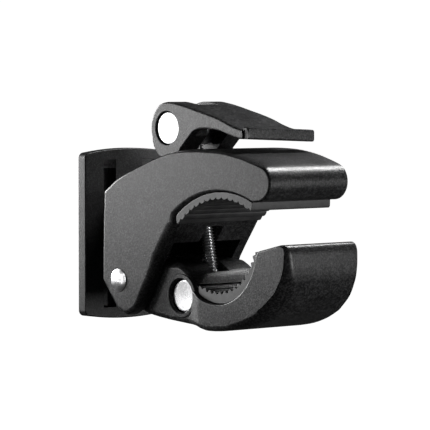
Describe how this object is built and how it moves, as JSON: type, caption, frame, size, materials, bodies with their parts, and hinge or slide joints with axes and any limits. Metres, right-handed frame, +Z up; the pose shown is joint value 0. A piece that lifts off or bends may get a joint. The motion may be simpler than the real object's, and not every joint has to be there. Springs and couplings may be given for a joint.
{
  "type": "super clamp",
  "caption": "Quick-release super clamp: slotted mounting plate, cast upper jaw, hinged lower jaw with toothed rubber pads, threaded rod and cam lever.",
  "frame": {"origin": "centre of the mounting plate's back face", "axes": "+X from the plate's back face towards the jaw mouth, Y along the clamped tube, +Z up from the lower jaw to the lever"},
  "size_m": [0.1251, 0.0539, 0.0947],
  "materials": {
    "black_coat": "cast aluminium with a fine-grained satin black coat",
    "black_plate": "black coated plate, satin",
    "pad_rubber": "matt moulded rubber",
    "zinc_steel": "bright zinc plate",
    "spring_steel": "oiled steel",
    "nylon": "natural nylon"
  },
  "bodies": {
    "upper_jaw": {"mounting_plate": "black_plate", "plate_screw_top": "spring_steel", "plate_screw_bottom": "spring_steel", "plate_dowel_upper": "spring_steel", "plate_dowel_lower": "spring_steel", "upper_jaw_body": "black_coat", "upper_pad": "pad_rubber", "hinge_pin": "zinc_steel", "hinge_washer": "zinc_steel", "opening_spring": "spring_steel"},
    "lower_jaw": {"lower_jaw": "black_coat", "lower_pad": "pad_rubber", "hinge_bush_near": "nylon", "hinge_bush_far": "nylon"},
    "rod": {"threaded_rod": "zinc_steel", "rod_stop_ring": "spring_steel", "jaw_barrel_pin": "zinc_steel", "rod_set_screw": "spring_steel"},
    "nut": {"lever_barrel_nut": "zinc_steel"},
    "lever": {"cam_lever": "black_coat"}
  },
  "joints": [
    {"name": "jaw_hinge", "type": "hinge", "parent": "upper_jaw", "child": "lower_jaw", "pos_m": [0.0271, 0, -0.0184], "axis": [0, 1, 0], "range_deg": [-9, 2.5]},
    {"name": "rod_pivot", "type": "hinge", "parent": "lower_jaw", "child": "rod", "pos_m": [0.0598, 0, -0.0236], "axis": [0, 1, 0], "range_deg": [-2.5, 8]},
    {"name": "nut_travel", "type": "slide", "parent": "rod", "child": "nut", "axis": [-0.1815, 0, 0.9834], "range_m": [-0.0051, 0.0016]},
    {"name": "lever_hinge", "type": "hinge", "parent": "nut", "child": "lever", "pos_m": [0.0469, 0, 0.0463], "axis": [0, -1, 0], "range_deg": [0, 150]}
  ],
  "couplings": [
    {"joint": "rod_pivot", "follows": "jaw_hinge", "ratio": -0.8597},
    {"joint": "nut_travel", "follows": "jaw_hinge", "m_per_rad": 0.0316}
  ]
}
